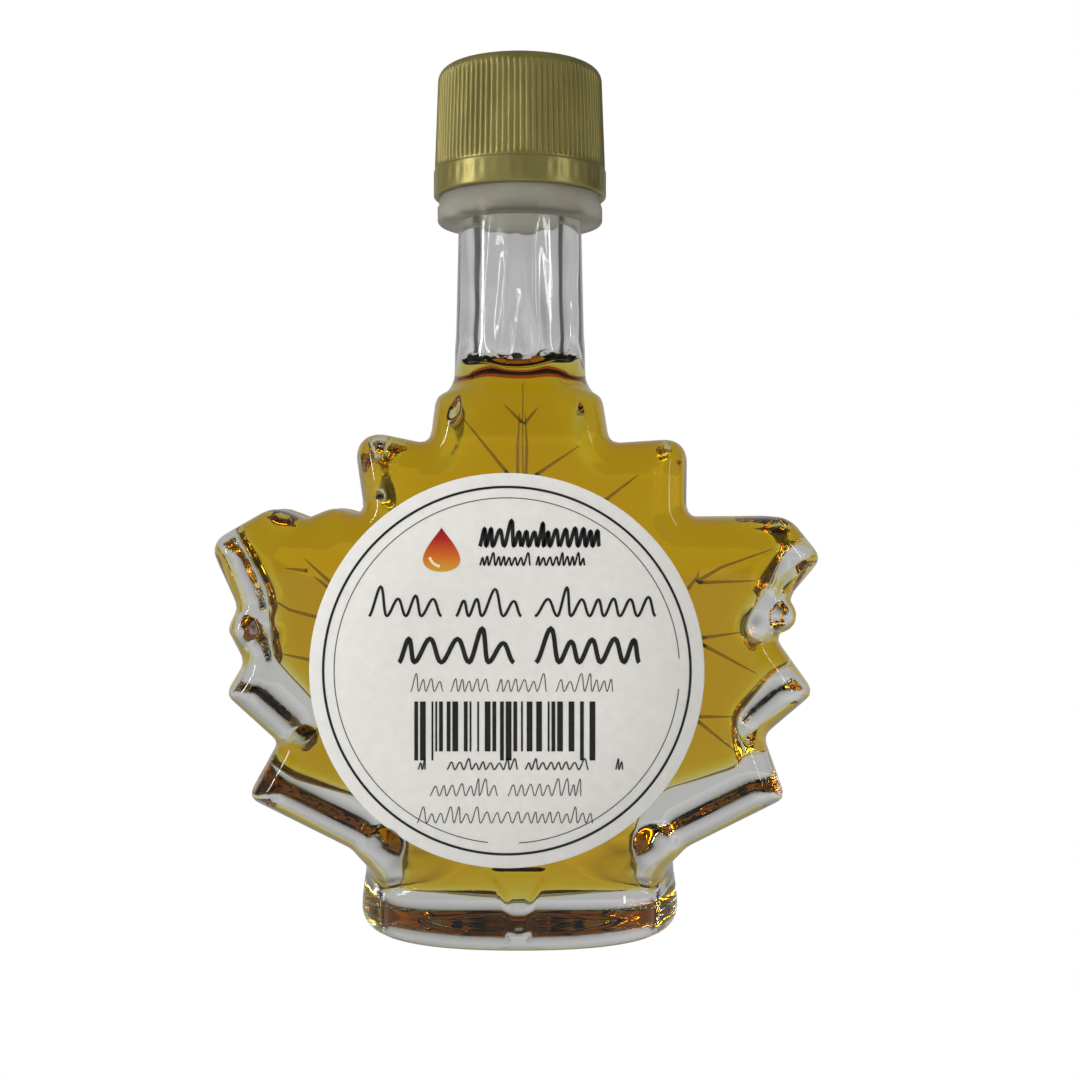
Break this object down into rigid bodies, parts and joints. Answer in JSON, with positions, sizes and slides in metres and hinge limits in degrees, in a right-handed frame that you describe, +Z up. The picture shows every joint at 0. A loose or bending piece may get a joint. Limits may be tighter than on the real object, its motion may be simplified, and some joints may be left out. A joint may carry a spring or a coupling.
{
  "type": "maple syrup bottle",
  "caption": "Small clear glass bottle in the shape of a maple leaf on an oval foot, filled with amber syrup, with a ribbed gold cap, a milky tamper ring and a round white label.",
  "frame": {"origin": "middle of the foot's underside, on the surface the bottle stands on", "axes": "+Z up through the neck, +X to the right as seen from the label, -Y out of the label"},
  "size_m": [0.0687, 0.026, 0.1013],
  "materials": {
    "glass": "clear moulded glass",
    "syrup": "clear amber syrup",
    "cap": "gold metallic plastic, ribbed",
    "tamper_ring": "milky translucent plastic",
    "label": "printed white paper"
  },
  "bodies": {
    "root": {"glass": "glass", "syrup": "syrup", "cap": "cap", "tamper_ring": "tamper_ring", "label": "label"}
  },
  "joints": []
}
